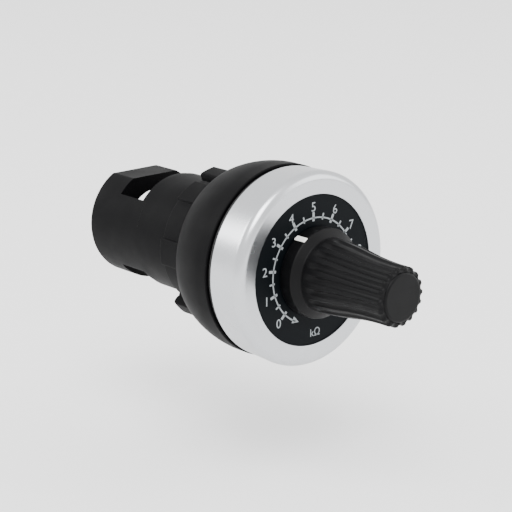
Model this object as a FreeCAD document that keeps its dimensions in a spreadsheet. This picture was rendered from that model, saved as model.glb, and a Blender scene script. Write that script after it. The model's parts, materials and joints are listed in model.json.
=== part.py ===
"""Panel potentiometer with a printed scale and a turning knob, for a 22 mm panel hole.

The device is modelled as its separate pieces, in millimetres, with +Z up. Y is the axis of
revolution: the user looks along +Y at the dial, and the wires leave at the +Y end. The origin is
the centre of the panel seat, which is the rear face of the bezel. Angles round the axis are in
degrees from the top, clockwise as the user sees the dial, so a positive angle turns about +Y.
"""
import FreeCAD, Part
import math
import os
import re

import Sketcher

SIZES = {
    # bezel and dial
    "bezel_flare": 0.3,
    "bezel_back_r": 17.5,
    "bezel_depth": 7.7,
    "bezel_wall": 1.4,
    "bezel_round": 1.7,
    "lip_thick": 0.25,
    "lip_width": 2.35,
    "dial_thick": 0.8,
    "assembly_gap": 0.1,
    # front housing: flange, web and threaded neck
    "rim_wall": 1.5,
    "boss_r": 6.5,
    "web_front": 3.4,
    "seat_depth": 1.4,
    "neck_r": 10.85,
    "neck_wall": 1.55,
    "neck_length": 20.3,
    "thread_pitch": 1.5,
    "thread_depth": 0.55,
    "thread_start": 2.0,
    "thread_fall": 0.35,
    "thread_floor": 0.45,
    "thread_rise": 0.80,
    "keyway_width": 2.4,
    "keyway_depth": 0.5,
    # gasket, collar and nut behind the panel
    "run_gap": 0.35,
    "gasket_step": 0.3,
    "gasket_thick": 0.8,
    "collar_gap": 0.2,
    "collar_flare": 0.2,
    "collar_taper": 1.9,
    "collar_length": 10.5,
    "collar_straight": 2.5,
    "collar_curve_r": 20.0,
    "collar_sleeve": 1.6,
    "collar_web": 2.5,
    "collar_skin": 0.7,
    "key_gap": 0.2,
    "lug_thick": 1.8,
    "lug_length": 6.1,
    "lug_spread": 12.0,
    "lug_turn": -14.0,
    "lug_count": 3,
    "lug_round": 0.9,
    "nut_gap": 0.3,
    "nut_length": 8.4,
    "nut_wall": 0.8,
    "nut_block_rise": 0.6,
    "nut_block_spread": 24.0,
    "nut_block_turn": 30.0,
    "nut_block_count": 6,
    # rear barrel
    "barrel_step": 0.05,
    "shoulder_step": 0.25,
    "shoulder_gap": 1.0,
    "barrel_wall": 1.5,
    "barrel_length": 23.95,
    "barrel_round": 0.8,
    "end_hole_r": 6.7,
    "spigot_length": 4.0,
    "spigot_wall": 1.1,
    "window_place": 10.1,
    "window_length": 6.9,
    "window_spread": 100.0,
    "flat_drop": 1.35,
    # potentiometer element
    "shaft_r": 3.0,
    "shaft_run_gap": 0.05,
    "bushing_wall": 0.5,
    "bushing_proud": 1.75,
    "bushing_plate": 1.4,
    "washer_r": 6.0,
    "washer_thick": 0.3,
    "nut_over": 1.4,
    "bushing_nut_thick": 1.2,
    "can_r": 8.0,
    "can_wall": 0.4,
    "can_length": 9.2,
    "base_thick": 1.5,
    "track_inner_r": 5.0,
    "track_outer_r": 7.0,
    "film_thick": 0.2,
    "track_spread": 300.0,
    "collector_inner_r": 3.6,
    "collector_outer_r": 4.6,
    "rotor_r": 7.1,
    "rotor_front": 4.0,
    "rotor_thick": 2.4,
    "brush_width": 1.2,
    "brush_gap": 0.05,
    "clip_reach": 1.6,
    "clip_spread": 300.0,
    "clip_groove": 0.5,
    "clip_front": 0.2,
    "clip_thick": 0.6,
    # terminals
    "tag_width": 1.6,
    "tag_thick": 0.5,
    "tag_place_r": 6.6,
    "tag_root_r": 5.2,
    "tag_length": 3.3,
    "rivet_r": 0.5,
    "rivet_place_r": 5.8,
    "wire_r": 0.22,
    "block_place": 1.5,
    "block_thick": 4.2,
    "terminal_count": 3,
    "terminal_place_r": 4.8,
    "terminal_turn": 60.0,
    "plate_width": 5.0,
    "plate_thick": 0.8,
    "tail_length": 6.5,
    "clamp_width": 4.6,
    "clamp_thick": 0.9,
    "clamp_gap": 0.1,
    "clamp_rib": 0.3,
    "screw_r": 1.25,
    "screw_gap": 0.06,
    "screw_way_gap": 0.24,
    "screw_length": 4.6,
    "screw_head_r": 2.1,
    "screw_head": 1.3,
    "slot_width": 0.6,
    "slot_depth": 0.7,
    # knob
    "knob_gap": 0.3,
    "skirt_back_r": 8.1,
    "skirt_front_r": 8.2,
    "skirt_depth": 2.6,
    "skirt_hollow_r": 6.9,
    "skirt_hollow": 2.0,
    "stem_base_r": 6.75,
    "stem_rise": 1.1,
    "stem_belly_r": 66.0,
    "stem_waist_r": 6.05,
    "stem_lower": 7.6,
    "stem_hollow_r": 53.0,
    "stem_upper": 7.5,
    "stem_end_r": 5.35,
    "stem_tip": 2.65,
    "stem_round": 0.8,
    "root_round": 0.3,
    "skirt_round": 0.35,
    "flute_r": 0.75,
    "flute_depth": 0.42,
    "flute_root": 1.2,
    "flute_overrun": 0.6,
    "flute_count": 18,
    "cap_r": 4.4,
    "cap_gap": 0.05,
    "cap_seat": 1.0,
    "cap_proud": 0.3,
    "cap_round": 0.5,
    "insert_wall": 1.0,
    "insert_web": 1.0,
    "press_gap": 0.02,
    "flat_share": 0.5,
    "screw_share": 0.4,
    "cross_reach": 1.6,
    "knob_screw_length": 5.5,
    "knob_screw_head_r": 2.75,
    "knob_screw_head": 1.3,
    "pointer_width": 1.0,
    "pointer_inner_r": 7.6,
    "pointer_proud": 0.05,
    "pointer_turn": -33.0,
    "pointer_groove": 0.4,
    "groove_width": 0.8,
}

# sizes that follow from others, in terms of the sheet
SHARED = {
    "bezel_front_r": "bezel_back_r + bezel_flare",
    "dial_open_r": "bezel_back_r - bezel_wall - lip_width",
    "gasket_r": "bezel_back_r - gasket_step",
    "collar_front_r": "bezel_back_r + collar_flare",
    "collar_back_r": "collar_front_r - collar_taper",
    "lug_outer_r": "collar_back_r - collar_skin",
    "lug_inner_r": "lug_outer_r - lug_thick",
    "neck_bore_r": "neck_r - neck_wall",
    "nut_r": "neck_r + run_gap + nut_wall",
    "barrel_r": "neck_r + barrel_step",
    "shoulder_r": "neck_r + shoulder_step",
    "barrel_end": "neck_length + barrel_length",
    "window_start": "neck_length + window_place",
    "window_end": "window_start + window_length",
    "flat_height": "barrel_r - flat_drop",
    "block_front": "neck_length + block_place",
    "bushing_r": "shaft_r + bushing_wall",
    "bushing_front": "bezel_depth - lip_thick + bushing_proud",
    "nut_across": "2 * (bushing_r + nut_over)",
    "clip_groove_r": "shaft_r - clip_groove",
    "clip_r": "shaft_r + clip_reach",
    "insert_r": "shaft_r + insert_wall",
    "flat_cut": "shaft_r * flat_share",
    "knob_screw_r": "shaft_r * screw_share",
    "stem_base": "bezel_depth - lip_thick + knob_gap + skirt_depth + stem_rise",
    "stem_waist": "stem_base + stem_lower",
    "stem_grip": "stem_waist + stem_upper",
    "stem_end": "stem_grip + stem_tip",
    "flute_start": "stem_base + flute_root",
}

# places along Y that several pieces share, in terms of the sheet
DIAL_FRONT = "-(bezel_depth - lip_thick)"
DIAL_BACK = "-(bezel_depth - lip_thick - dial_thick)"
BEZEL_BORE = "(bezel_back_r - bezel_wall)"
COLLAR_FRONT = "(gasket_thick + collar_gap)"
COLLAR_BACK = "(gasket_thick + collar_gap + collar_length)"
LOOSE_BORE = "(neck_r + run_gap)"
NUT_FRONT = "(gasket_thick + collar_gap + collar_length + nut_gap)"
NUT_BACK = "(gasket_thick + collar_gap + collar_length + nut_gap + nut_length)"
POT_FACE = "-seat_depth"
CAN_FRONT = "(bushing_plate - seat_depth)"
CAN_BACK = "(bushing_plate - seat_depth + can_length)"
BASE_FRONT = "(bushing_plate - seat_depth + can_length - base_thick)"
ROTOR_BACK = "(rotor_front + rotor_thick)"
TAG_BACK = "(bushing_plate - seat_depth + can_length + tag_length)"
BLOCK_BACK = "(block_front + block_thick)"
PLATE_BACK = "(block_front + block_thick + plate_thick)"
TAIL_FRONT = "(block_front + block_thick + plate_thick - tail_length)"
CLAMP_FRONT = "(block_front + block_thick + plate_thick + clamp_gap)"
CLAMP_BACK = "(block_front + block_thick + plate_thick + clamp_gap + clamp_thick)"
SKIRT_BACK = "-(bezel_depth - lip_thick + knob_gap)"
SKIRT_FRONT = "-(bezel_depth - lip_thick + knob_gap + skirt_depth)"
HOLLOW_FLOOR = "-(bezel_depth - lip_thick + knob_gap + skirt_hollow)"
CAP_SEAT = "-(stem_end - cap_seat)"
INSERT_FRONT = "-(stem_end - cap_seat - knob_screw_head)"
INSERT_WEB = "-(stem_end - cap_seat - knob_screw_head - insert_web)"

Y_AXIS = FreeCAD.Vector(0, 1, 0)
X_AXIS = FreeCAD.Vector(1, 0, 0)
MARGIN = "1"
PLACE_LIMIT = 1e-4

doc = FreeCAD.newDocument("PanelPotentiometer")
sheet = doc.addObject("Spreadsheet::Sheet", "Sizes")
pieces = []


def fill_sheet():
    """Write the driving sizes into the sheet, one named cell each."""
    for row, (name, number) in enumerate(SIZES.items(), start=1):
        sheet.set("A%d" % row, name)
        sheet.set("B%d" % row, str(number))
        sheet.setAlias("B%d" % row, name)
    doc.recompute()


def linked(formula):
    """The formula with shared sizes written out, and each size's name written as its cell in the sheet."""
    def written(word):
        name = word[0]
        if name in SHARED:
            return "(%s)" % linked(SHARED[name])
        return "Sizes." + name if name in SIZES else name

    return re.sub(r"[a-z_]+", written, formula)


def size(formula):
    """The present value of a formula made of sizes."""
    value = sheet.evalExpression(linked(formula))
    return float(getattr(value, "Value", value))


def bind(item, prop, formula):
    """Drive a property of an object by the sheet."""
    item.setExpression(prop, linked(formula))


def keep(item, label, turn="0"):
    """Name a finished piece and turn it about the axis to its place."""
    item.Label = label
    item.Placement = FreeCAD.Placement(FreeCAD.Vector(), Y_AXIS, size(turn))
    pieces.append(item)
    return item


def new_body(name):
    """An empty PartDesign body."""
    return doc.addObject("PartDesign::Body", name + "_body")


def origin_plane(body, role):
    """One of a body's own origin planes."""
    return next(plane for plane in body.Origin.OriginFeatures if plane.Role == role)


def place_point(sketch, line, end, across, along):
    """Hold one end of a line at two sizes from the sketch's origin."""
    for axis, kind, formula in ((-2, "DistanceX", across), (-1, "DistanceY", along)):
        if formula == "0":
            sketch.addConstraint(Sketcher.Constraint("PointOnObject", line, end, axis))
        else:
            hold(sketch, "%s_%d" % (kind.lower(), line), formula, kind, -1, 1, line, end)


def hold(sketch, name, formula, kind, *places):
    """Add a named dimension to a sketch, driven by the sheet."""
    index = sketch.addConstraint(Sketcher.Constraint(kind, *places, size(formula)))
    sketch.renameConstraint(index, name)
    bind(sketch, ".Constraints." + name, formula)


def draw_outline(sketch, corners):
    """Draw a closed outline from its corners, each (across, along).

    Where an arc leads to the next corner, its radius follows, and whether its centre is on the left.
    """
    points = [FreeCAD.Vector(size(corner[0]), size(corner[1]), 0) for corner in corners]
    ends = []
    for line, (start, end) in enumerate(zip(points, points[1:] + points[:1])):
        ends.append(draw_edge(sketch, line, start, end, corners[line][2:]))
    for line, (first, last) in enumerate(ends):
        following = (line + 1) % len(ends)
        sketch.addConstraint(Sketcher.Constraint("Coincident", line, last, following, ends[following][0]))
    for line, corner in enumerate(corners):
        place_point(sketch, line, ends[line][0], corner[0], corner[1])


def draw_edge(sketch, line, start, end, curve):
    """Draw one straight or curved edge and return which of its ends is its start and its finish.

    curve is empty, or holds the arc's radius as a formula and whether its centre lies on the left
    of the way from start to end.
    """
    if not curve:
        sketch.addGeometry(Part.LineSegment(start, end), False)
        return 1, 2
    radius, on_left = size(curve[0]), curve[1]
    chord = end - start
    normal = FreeCAD.Vector(-chord.y, chord.x, 0).normalize() * (1 if on_left else -1)
    centre = (start + end) / 2 + normal * math.sqrt(radius ** 2 - chord.Length ** 2 / 4)
    first, last = (start, end) if on_left else (end, start)
    angles = [math.atan2(point.y - centre.y, point.x - centre.x) for point in (first, last)]
    circle = Part.Circle(centre, FreeCAD.Vector(0, 0, 1), radius)
    sketch.addGeometry(Part.ArcOfCircle(circle, *angles), False)
    hold(sketch, "radius_%d" % line, curve[0], "Radius", line)
    return (1, 2) if on_left else (2, 1)


def section_sketch(body, name, corners, centre=None):
    """A sketch in a plane through the axis: corners are (radius, along).

    With no centre it lies in the XY plane, else it is turned to that angle round the axis.
    """
    sketch = body.newObject("Sketcher::SketchObject", name)
    sketch.AttachmentSupport = (origin_plane(body, "XY_Plane"), [""])
    sketch.MapMode = "FlatFace"
    if centre is not None:
        turn = FreeCAD.Rotation(Y_AXIS, size(centre) - 90)
        sketch.AttachmentOffset = FreeCAD.Placement(FreeCAD.Vector(), turn)
    draw_outline(sketch, corners)
    return sketch


def cross_sketch(body, name, along, turn="0"):
    """An empty sketch across the axis at a place on Y; its axes are X and Z, turned round Y."""
    sketch = body.newObject("Sketcher::SketchObject", name)
    sketch.AttachmentSupport = (origin_plane(body, "XZ_Plane"), [""])
    sketch.MapMode = "FlatFace"
    spin = FreeCAD.Rotation(FreeCAD.Vector(0, 0, 1), -size(turn))
    sketch.AttachmentOffset = FreeCAD.Placement(FreeCAD.Vector(), spin)
    bind(sketch, "AttachmentOffset.Base.z", "-(%s)" % along)
    return sketch


def rectangle(across, low, high):
    """Corners of a rectangle centred on the sketch's upright axis."""
    half = "(%s) / 2" % across
    return [("-" + half, low), (half, low), (half, high), ("-" + half, high)]


def turned(name, corners):
    """A body turned about the axis from its section."""
    body = new_body(name)
    revolve = body.newObject("PartDesign::Revolution", name + "_turn")
    revolve.Profile = section_sketch(body, name + "_section", corners)
    revolve.ReferenceAxis = (revolve.Profile[0], ["V_Axis"])
    revolve.Angle = 360
    doc.recompute()
    return body


def sector(body, name, corners, centre, spread, cut=False):
    """Add or cut a stretch of a ring: a section swept over an angle about its centre."""
    kind = "PartDesign::Groove" if cut else "PartDesign::Revolution"
    sweep = body.newObject(kind, name)
    sweep.Profile = section_sketch(body, name + "_section", corners, centre)
    sweep.ReferenceAxis = (sweep.Profile[0], ["V_Axis"])
    sweep.Midplane = True
    bind(sweep, "Angle", spread)
    doc.recompute()
    return sweep


def cross_cut(body, name, corners, along, depth, turn="0"):
    """Cut an outline drawn across the axis, from a place on Y towards +Y."""
    pocket = body.newObject("PartDesign::Pocket", name)
    sketch = cross_sketch(body, name + "_outline", along, turn)
    draw_outline(sketch, corners)
    pocket.Profile = sketch
    bind(pocket, "Length", depth)
    before = body.Shape.Volume
    doc.recompute()
    if not body.Shape.Volume < before:
        raise RuntimeError(name + " cuts nothing")
    return pocket


def repeat_round(body, name, feature, count):
    """Repeat a feature evenly round the axis."""
    pattern = body.newObject("PartDesign::PolarPattern", name)
    pattern.Originals = [feature]
    pattern.Axis = (origin_plane(body, "Y_Axis"), [""])
    pattern.Angle = 360
    bind(pattern, "Occurrences", count)
    body.Tip = pattern
    doc.recompute()
    return pattern


def is_ring(edge, radius, along):
    """Whether an edge is a circle about the axis with this radius, at this place on Y."""
    curve = edge.Curve
    if not isinstance(curve, Part.Circle):
        return False
    off_axis = math.hypot(curve.Center.x, curve.Center.z)
    return max(abs(curve.Radius - radius), abs(curve.Center.y - along), off_axis) < PLACE_LIMIT


def dress(body, name, kind, amount, wanted):
    """Round or bevel the edges of a body that the test `wanted` picks."""
    base = body.Tip
    names = ["Edge%d" % (i + 1) for i, edge in enumerate(base.Shape.Edges) if wanted(edge)]
    if not names:
        raise RuntimeError(name + " finds no edge")
    feature = body.newObject("PartDesign::" + kind, name)
    feature.Base = (base, names)
    bind(feature, "Radius" if kind == "Fillet" else "Size", amount)
    doc.recompute()
    return feature


def round_ring(body, name, amount, radius, along):
    """Round the circular edge with this radius at this place on Y."""
    return dress(body, name, "Fillet", amount, lambda edge: is_ring(edge, size(radius), size(along)))


def block(name, across, along, up):
    """A box from its low and high formulas on X, Y and Z."""
    box = doc.addObject("Part::Box", name)
    for prop, axis, (low, high) in (("Length", "x", across), ("Width", "y", along), ("Height", "z", up)):
        bind(box, prop, "(%s) - (%s)" % (high, low))
        bind(box, "Placement.Base." + axis, low)
    return box


def rod(name, radius, low, high, away="0", turn="0"):
    """A round bar along Y, from low to high, at a distance from the axis and a turn about it."""
    bar = doc.addObject("Part::Cylinder", name)
    bar.Placement = FreeCAD.Placement(FreeCAD.Vector(), FreeCAD.Rotation(X_AXIS, -90))
    bind(bar, "Radius", radius)
    bind(bar, "Height", "(%s) - (%s)" % (high, low))
    bind(bar, "Placement.Base.x", "(%s) * sin(%s)" % (away, turn))
    bind(bar, "Placement.Base.y", low)
    bind(bar, "Placement.Base.z", "(%s) * cos(%s)" % (away, turn))
    return bar


def cut(name, base, *tools):
    """The base with each tool taken away."""
    for number, tool in enumerate(tools):
        result = doc.addObject("Part::Cut", "%s_%d" % (name, number))
        result.Base = base
        result.Tool = tool
        base = result
    return base


def fuse(name, *parts):
    """Several shapes joined into one."""
    result = doc.addObject("Part::MultiFuse", name + "_whole")
    result.Shapes = list(parts)
    return result


def group(name, parts):
    """Several separate solids kept as one node."""
    result = doc.addObject("Part::Compound", name + "_set")
    result.Links = list(parts)
    return result


def terminal_angle(number):
    """Where the numbered terminal stands round the axis, counted from 0."""
    return "terminal_turn + %d * 360 / terminal_count" % number


def make_bezel():
    """Plated ring round the dial: a shell with a thin lip over the dial's edge."""
    bore = BEZEL_BORE
    body = turned("bezel", [
        (bore, "0"),
        ("bezel_back_r", "0"),
        ("bezel_front_r", "-(bezel_depth - bezel_round)"),
        ("bezel_front_r", "-bezel_depth"),
        ("dial_open_r", "-bezel_depth"),
        ("dial_open_r", DIAL_FRONT),
        (bore, DIAL_FRONT),
    ])
    round_ring(body, "bezel_shoulder", "bezel_round - 0.02", "bezel_front_r", "-bezel_depth")
    keep(body, "bezel_ring")


def make_dial():
    """Flat dial plate under the bezel's lip, clamped by the bushing nut."""
    edge = BEZEL_BORE + " - assembly_gap"
    hole = "bushing_r + assembly_gap"
    body = turned("dial", [(hole, DIAL_FRONT), (edge, DIAL_FRONT), (edge, DIAL_BACK), (hole, DIAL_BACK)])
    keep(body, "dial_plate")


def make_front_housing():
    """Moulded front: flange inside the bezel, web that carries the element, threaded neck."""
    edge = BEZEL_BORE + " - assembly_gap"
    hole = "bushing_r + assembly_gap"
    body = turned("front", [
        (hole, DIAL_BACK),
        ("boss_r", DIAL_BACK),
        ("boss_r", "-web_front"),
        (edge + " - rim_wall", "-web_front"),
        (edge + " - rim_wall", DIAL_BACK),
        (edge, DIAL_BACK),
        (edge, "0"),
        ("neck_r", "0"),
        ("neck_r", "neck_length"),
        ("neck_bore_r", "neck_length"),
        ("neck_bore_r", POT_FACE),
        (hole, POT_FACE),
    ])
    groove = body.newObject("PartDesign::Groove", "thread_groove")
    groove.Profile = section_sketch(body, "thread_section", [
        ("neck_r + thread_depth", "thread_start"),
        ("neck_r - thread_depth", "thread_start + thread_pitch * thread_fall"),
        ("neck_r - thread_depth", "thread_start + thread_pitch * thread_floor"),
        ("neck_r + thread_depth", "thread_start + thread_pitch * thread_rise"),
    ])
    groove.ReferenceAxis = (groove.Profile[0], ["V_Axis"])
    groove.Angle = 360
    doc.recompute()
    thread = body.newObject("PartDesign::LinearPattern", "thread_rings")
    thread.Originals = [groove]
    thread.Direction = (origin_plane(body, "Y_Axis"), [""])
    turns = "floor((neck_length - thread_start - thread_pitch) / thread_pitch)"
    bind(thread, "Length", "thread_pitch * " + turns)
    bind(thread, "Occurrences", turns + " + 1")
    body.Tip = thread
    doc.recompute()
    keyway = rectangle("keyway_width", "-(neck_r + %s)" % MARGIN, "-(neck_r - keyway_depth)")
    cross_cut(body, "keyway", keyway, "0", "neck_length")
    keep(body, "front_housing")


def make_gasket():
    """Soft ring between the bezel and the panel."""
    body = turned("gasket", [
        (LOOSE_BORE, "0"),
        ("gasket_r", "0"),
        ("gasket_r", "gasket_thick"),
        (LOOSE_BORE, "gasket_thick"),
    ])
    keep(body, "panel_gasket")


def make_collar():
    """Cupped collar that presses on the back of the panel, with a key and three lugs."""
    sleeve = LOOSE_BORE + " + collar_sleeve"
    cavity = "collar_back_r - collar_skin"
    floor = COLLAR_BACK + " - collar_web"
    body = turned("collar", [
        (LOOSE_BORE, COLLAR_FRONT),
        (sleeve, COLLAR_FRONT),
        (sleeve, floor),
        (cavity, floor),
        (cavity, COLLAR_FRONT),
        ("collar_front_r", COLLAR_FRONT),
        ("collar_front_r", COLLAR_FRONT + " + collar_straight", "collar_curve_r", True),
        ("collar_back_r", COLLAR_BACK),
        (LOOSE_BORE, COLLAR_BACK),
    ])
    lug = sector(body, "lug", [
        ("lug_inner_r", COLLAR_BACK + " - collar_skin"),
        ("lug_outer_r", COLLAR_BACK + " - collar_skin"),
        ("lug_outer_r", COLLAR_BACK + " + lug_length - lug_round", "lug_round", True),
        ("lug_outer_r - lug_round", COLLAR_BACK + " + lug_length"),
        ("lug_inner_r", COLLAR_BACK + " + lug_length"),
    ], "lug_turn", "lug_spread")
    repeat_round(body, "lugs", lug, "lug_count")
    key = body.newObject("PartDesign::Pad", "key")
    sketch = cross_sketch(body, "key_outline", COLLAR_FRONT)
    draw_outline(sketch, rectangle("keyway_width - 2 * key_gap", "-(%s + key_gap)" % LOOSE_BORE,
                                   "-(neck_r - keyway_depth + key_gap)"))
    key.Profile = sketch
    key.Reversed = True
    bind(key, "Length", "collar_length")
    doc.recompute()
    keep(body, "thrust_collar")


def make_ring_nut():
    """Castellated nut that drives the collar along the neck's thread."""
    body = turned("nut", [
        (LOOSE_BORE, NUT_FRONT),
        ("nut_r", NUT_FRONT),
        ("nut_r", NUT_BACK),
        (LOOSE_BORE, NUT_BACK),
    ])
    raised = sector(body, "grip_block", [
        ("nut_r - nut_block_rise / 2", NUT_FRONT),
        ("nut_r + nut_block_rise", NUT_FRONT),
        ("nut_r + nut_block_rise", NUT_BACK),
        ("nut_r - nut_block_rise / 2", NUT_BACK),
    ], "nut_block_turn", "nut_block_spread")
    repeat_round(body, "grip_blocks", raised, "nut_block_count")
    keep(body, "ring_nut")


def make_barrel():
    """Rear barrel round the terminals: spigot, wire windows, end wall and a flat."""
    spigot = "neck_bore_r - assembly_gap"
    bore = "barrel_r - barrel_wall"
    body = turned("barrel", [
        (spigot + " - spigot_wall", "neck_length - spigot_length"),
        (spigot, "neck_length - spigot_length"),
        (spigot, "neck_length"),
        ("shoulder_r", "neck_length"),
        ("shoulder_r", "window_start - shoulder_gap - shoulder_step"),
        ("barrel_r", "window_start - shoulder_gap"),
        ("barrel_r", "barrel_end"),
        ("end_hole_r", "barrel_end"),
        ("end_hole_r", "window_end"),
        (bore, "window_end"),
        (bore, "neck_length + barrel_wall"),
        (spigot + " - spigot_wall", "neck_length + barrel_wall"),
    ])
    round_ring(body, "barrel_edge", "barrel_round", "barrel_r", "barrel_end")
    window = sector(body, "window", [
        (bore + " - " + MARGIN, "window_start"),
        ("barrel_r + " + MARGIN, "window_start"),
        ("barrel_r + " + MARGIN, "window_end"),
        (bore + " - " + MARGIN, "window_end"),
    ], "0", "window_spread", cut=True)
    repeat_round(body, "windows", window, "2")
    flat = rectangle("2 * barrel_r", "flat_height", "barrel_r + " + MARGIN)
    cross_cut(body, "flat", flat, "window_end", "barrel_end - window_end + " + MARGIN)
    keep(body, "rear_barrel")


def make_bushing():
    """Threaded bushing and mounting plate of the element, with the shaft's bearing."""
    body = turned("bushing", [
        ("shaft_r + shaft_run_gap", "-bushing_front"),
        ("bushing_r", "-bushing_front"),
        ("bushing_r", POT_FACE),
        ("can_r", POT_FACE),
        ("can_r", CAN_FRONT),
        ("shaft_r + shaft_run_gap", CAN_FRONT),
    ])
    keep(body, "pot_bushing")


def make_bushing_washer():
    """Flat washer on the dial under the bushing nut."""
    low = DIAL_FRONT + " - washer_thick"
    body = turned("washer", [
        ("bushing_r + assembly_gap", low),
        ("washer_r", low),
        ("washer_r", DIAL_FRONT),
        ("bushing_r + assembly_gap", DIAL_FRONT),
    ])
    keep(body, "bushing_washer")


def make_bushing_nut():
    """Hexagon nut that clamps the dial, the housing's web and the element together."""
    body = new_body("hexagon")
    sketch = cross_sketch(body, "hexagon_outline", DIAL_FRONT + " - washer_thick")
    corner = "nut_across / 2 / cos(30)"
    corners = [("(%s) * cos(%d)" % (corner, turn), "(%s) * sin(%d)" % (corner, turn))
               for turn in range(30, 390, 60)]
    draw_outline(sketch, corners)
    pad = body.newObject("PartDesign::Pad", "hexagon_pad")
    pad.Profile = sketch
    bind(pad, "Length", "bushing_nut_thick")
    doc.recompute()
    hole = body.newObject("PartDesign::Groove", "hexagon_hole")
    hole.Profile = section_sketch(body, "hexagon_hole_section", [
        ("0", DIAL_FRONT),
        ("bushing_r", DIAL_FRONT),
        ("bushing_r", "-bushing_front - " + MARGIN),
        ("0", "-bushing_front - " + MARGIN),
    ])
    hole.ReferenceAxis = (hole.Profile[0], ["V_Axis"])
    hole.Angle = 360
    doc.recompute()
    keep(body, "bushing_nut")


def make_can():
    """Drawn metal can between the bushing plate and the base wafer."""
    body = turned("can", [
        ("can_r - can_wall", CAN_FRONT),
        ("can_r", CAN_FRONT),
        ("can_r", CAN_BACK),
        ("can_r - can_wall", CAN_BACK),
    ])
    keep(body, "pot_cover")


def make_base():
    """Phenolic wafer that closes the can and carries the track and the tags."""
    wafer = rod("wafer", "can_r - can_wall", BASE_FRONT, CAN_BACK)
    holes = [rod("rivet_hole_%d" % number, "rivet_r", BASE_FRONT + " - " + MARGIN, CAN_BACK + " + " + MARGIN,
                 "rivet_place_r", terminal_angle(number)) for number in range(int(size("terminal_count")))]
    keep(cut("pot_base", wafer, *holes), "pot_base")


def make_track():
    """Carbon track printed on the wafer, open at the bottom, and the collector ring inside it."""
    front = BASE_FRONT + " - film_thick"
    body = new_body("track")
    sector(body, "track_film", [
        ("track_inner_r", front),
        ("track_outer_r", front),
        ("track_outer_r", BASE_FRONT),
        ("track_inner_r", BASE_FRONT),
    ], "0", "track_spread")
    keep(body, "resistive_track")
    ring = turned("collector", [
        ("collector_inner_r", front),
        ("collector_outer_r", front),
        ("collector_outer_r", BASE_FRONT),
        ("collector_inner_r", BASE_FRONT),
    ])
    keep(ring, "collector_ring")


def make_tags():
    """One solder tag per terminal, each riveted to the wafer, and the set of rivets."""
    rivets = []
    for number in range(int(size("terminal_count"))):
        half = "tag_width / 2"
        outer = "tag_place_r + tag_thick / 2"
        root = block("tag_root_%d" % number, ("-" + half, half), (CAN_BACK, CAN_BACK + " + tag_thick"),
                     ("tag_root_r", outer))
        tag = block("tag_blade_%d" % number, ("-" + half, half), (CAN_BACK, TAG_BACK),
                    ("tag_place_r - tag_thick / 2", outer))
        hole = rod("tag_hole_%d" % number, "rivet_r", CAN_BACK + " - " + MARGIN, CAN_BACK + " + tag_thick",
                   "rivet_place_r")
        whole = cut("tag_%d" % number, fuse("tag_%d" % number, root, tag), hole)
        keep(whole, "pot_terminal_%d" % (number + 1), terminal_angle(number))
        rivets.append(rod("rivet_shank_%d" % number, "rivet_r", BASE_FRONT, CAN_BACK + " + tag_thick",
                          "rivet_place_r", terminal_angle(number)))
    keep(group("base_rivets", rivets), "base_rivets")


def make_link_wires():
    """A straight tinned wire from each solder tag to its terminal plate's tail."""
    for number in range(int(size("terminal_count"))):
        wire = rod("link_%d" % number, "wire_r", TAG_BACK, TAIL_FRONT, "tag_place_r")
        keep(group("link_wire_%d" % number, [wire]), "link_wire_%d" % (number + 1), terminal_angle(number))


def make_terminal_block():
    """Moulded disc across the barrel, with a screw hole and a tail slot for each terminal."""
    disc = rod("disc", "barrel_r - barrel_wall - assembly_gap", "block_front", BLOCK_BACK)
    tools = []
    for number in range(int(size("terminal_count"))):
        screw = rod("screw_way_%d" % number, "screw_r + screw_way_gap", "block_front - " + MARGIN,
                    BLOCK_BACK + " + " + MARGIN, "terminal_place_r")
        half = "(tag_width / 2 + assembly_gap)"
        slot = block("tail_way_%d" % number, ("-" + half, half),
                     ("block_front - " + MARGIN, BLOCK_BACK + " + " + MARGIN),
                     ("tag_place_r - tag_thick / 2 - assembly_gap",
                      "tag_place_r + tag_thick / 2 + assembly_gap"))
        holes = group("ways_%d" % number, [screw, slot])
        holes.Placement = FreeCAD.Placement(FreeCAD.Vector(), Y_AXIS, size(terminal_angle(number)))
        tools.append(holes)
    keep(cut("terminal_block", disc, *tools), "terminal_block")


def make_terminals():
    """The plate, clamp and screw of each terminal."""
    for number in range(int(size("terminal_count"))):
        name = "terminal_%d" % (number + 1)
        turn = terminal_angle(number)
        make_plate(number, turn)
        make_clamp(number, turn)
        make_screw(number, turn)


def make_plate(number, turn):
    """Brass plate on the block, with a tail that runs forwards through its slot."""
    half = "plate_width / 2"
    middle = "terminal_place_r"
    flat = block("plate_flat_%d" % number, ("-" + half, half), (BLOCK_BACK, PLATE_BACK),
                 (middle + " - " + half, middle + " + " + half))
    tail = block("plate_tail_%d" % number, ("-tag_width / 2", "tag_width / 2"), (TAIL_FRONT, PLATE_BACK),
                 ("tag_place_r - tag_thick / 2", "tag_place_r + tag_thick / 2"))
    hole = rod("plate_hole_%d" % number, "screw_r + screw_gap", BLOCK_BACK + " - " + MARGIN,
               PLATE_BACK + " + " + MARGIN, middle)
    whole = cut("plate_%d" % number, fuse("plate_%d" % number, flat, tail), hole)
    keep(whole, "terminal_plate_%d" % (number + 1), turn)


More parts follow.
